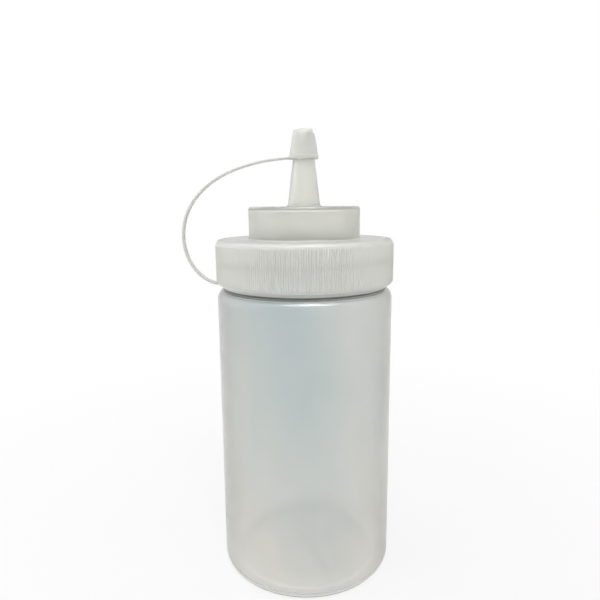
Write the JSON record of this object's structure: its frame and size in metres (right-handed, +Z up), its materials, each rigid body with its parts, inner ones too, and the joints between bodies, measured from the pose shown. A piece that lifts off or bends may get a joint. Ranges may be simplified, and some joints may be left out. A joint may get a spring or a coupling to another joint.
{
  "type": "condiment squeeze bottle",
  "caption": "Round milky squeeze bottle with a wide screw neck, a ribbed screw cap with a raised dome and cone nozzle, and a pull-off tip cap on a flat strap leash.",
  "frame": {"origin": "middle of the bottle's foot, on the plane that it stands on", "axes": "+Z up the bottle's axis to the tip cap, the strap's loop on the -X side, the pictured front faces -Y"},
  "size_m": [0.0877, 0.0736, 0.184],
  "materials": {
    "bottle_plastic": "milky translucent natural low-density polyethylene, satin",
    "cap_plastic": "milky translucent natural low-density polyethylene, satin",
    "leash_plastic": "milky translucent natural low-density polyethylene, smooth"
  },
  "bodies": {
    "bottle": {"bottle_body": "bottle_plastic"},
    "leash_ring": {"leash_ring": "leash_plastic"},
    "cap": {"screw_cap": "cap_plastic", "nozzle": "cap_plastic"},
    "tip_cap": {"tip_cap": "leash_plastic", "leash_strap": "leash_plastic"}
  },
  "joints": [
    {"name": "cap_turn", "type": "hinge", "parent": "bottle", "child": "leash_ring", "pos_m": [0, 0, 0.1216], "axis": [0, 0, 1], "range_deg": [0, 1620]},
    {"name": "cap_rise", "type": "slide", "parent": "leash_ring", "child": "cap", "axis": [0, 0, 1], "range_m": [0, 0.01891], "deforming": ["leash_strap"]},
    {"name": "tip_cap_pull", "type": "slide", "parent": "cap", "child": "tip_cap", "axis": [0, 0, 1], "range_m": [0, 0.015], "deforming": ["leash_strap"]}
  ],
  "couplings": [
    {"joint": "cap_rise", "follows": "cap_turn", "m_per_rad": 0.00066845}
  ]
}
